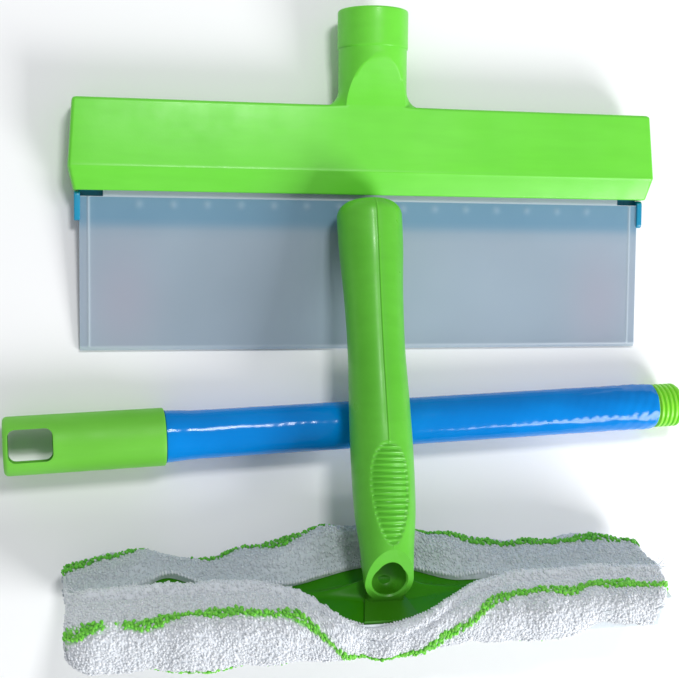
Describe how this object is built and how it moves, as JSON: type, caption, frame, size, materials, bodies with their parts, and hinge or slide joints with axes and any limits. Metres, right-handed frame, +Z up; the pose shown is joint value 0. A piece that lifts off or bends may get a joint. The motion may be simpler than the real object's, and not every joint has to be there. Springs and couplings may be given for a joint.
{
  "type": "window cleaning squeegee set",
  "caption": "Window squeegee head with a clear blade, a short threaded pole with a hanging cap, and a T-shaped washer in a striped terry sleeve, laid out together.",
  "frame": {"origin": "on the bench, under the middle of the whole set", "axes": "+X along the blade to the right, +Y from the washer to the head's socket, +Z up from the bench"},
  "size_m": [0.3224, 0.2962, 0.0595],
  "materials": {
    "green_plastic": "smooth moulded",
    "blue_plastic": "smooth moulded",
    "silicone": "milky translucent",
    "steel": "plain tube",
    "blue_film": "glossy shrunk film",
    "cap_plastic": "satin moulded",
    "thread_plastic": "smooth moulded",
    "handle_plastic": "satin moulded",
    "bar_plastic": "smooth moulded",
    "terry": "white terry pile with green stripes"
  },
  "bodies": {
    "squeegee_head": {"head_shell": "green_plastic"},
    "blade_cartridge": {"blade_holder": "blue_plastic", "wiper_blade": "silicone"},
    "pole": {"pole_tube": "steel", "pole_film": "blue_film", "hang_cap": "cap_plastic", "threaded_tip": "thread_plastic"},
    "washer": {"washer_handle": "handle_plastic", "washer_bar": "bar_plastic", "washing_sleeve": "terry"}
  },
  "joints": [
    {"name": "blade_release", "type": "slide", "parent": "squeegee_head", "child": "blade_cartridge", "axis": [0, -0.994, -0.1091], "range_m": [0, 0.012]},
    {"name": "pole_draw", "type": "slide", "parent": "squeegee_head", "child": "pole", "axis": [-0.9992, -0.0398, 0.0084], "range_m": [0, 0.34]},
    {"name": "washer_lift", "type": "slide", "parent": "squeegee_head", "child": "washer", "axis": [0, 0, 1], "range_m": [0, 0.12]}
  ]
}
